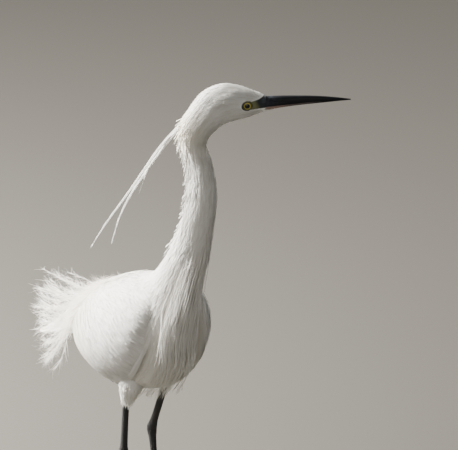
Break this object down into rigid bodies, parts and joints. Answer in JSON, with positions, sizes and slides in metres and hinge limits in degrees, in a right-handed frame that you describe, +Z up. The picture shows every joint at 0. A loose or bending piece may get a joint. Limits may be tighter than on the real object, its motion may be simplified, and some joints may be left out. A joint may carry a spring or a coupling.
{
  "type": "egret",
  "caption": "Life-size standing little egret: white plumage with loose plumes on nape, breast and back, slender black bill, black legs and yellow toes.",
  "frame": {"origin": "on the floor, under the middle of the bird's bounding box", "axes": "+Z up, along the bird's height; +X the way the breast faces; +Y to the bird's left, towards which its head is turned"},
  "size_m": [0.3572, 0.2328, 0.5078],
  "materials": {
    "plumage": "matte",
    "plumes": "matte",
    "bill": "satin",
    "lores": "satin",
    "eye": "gloss",
    "legs": "satin",
    "feet": "satin",
    "claws": "satin"
  },
  "bodies": {
    "root": {"torso": "plumage", "neck_lower": "plumage", "neck_middle": "plumage", "neck_upper": "plumage", "head": "plumage", "lores": "lores", "eye_right": "eye", "eye_left": "eye", "bill_upper": "bill", "bill_lower": "bill", "wing_right": "plumage", "wing_left": "plumage", "tail": "plumage", "back_plumes": "plumes", "breast_plumes": "plumes", "nape_plumes": "plumes", "thigh_right": "plumage", "shank_right": "legs", "tarsus_right": "legs", "foot_right": "feet", "claw_right_inner": "claws", "claw_right_middle": "claws", "claw_right_outer": "claws", "claw_right_hind": "claws", "thigh_left": "plumage", "shank_left": "legs", "tarsus_left": "legs", "foot_left": "feet", "claw_left_inner": "claws", "claw_left_middle": "claws", "claw_left_outer": "claws", "claw_left_hind": "claws"}
  },
  "joints": []
}
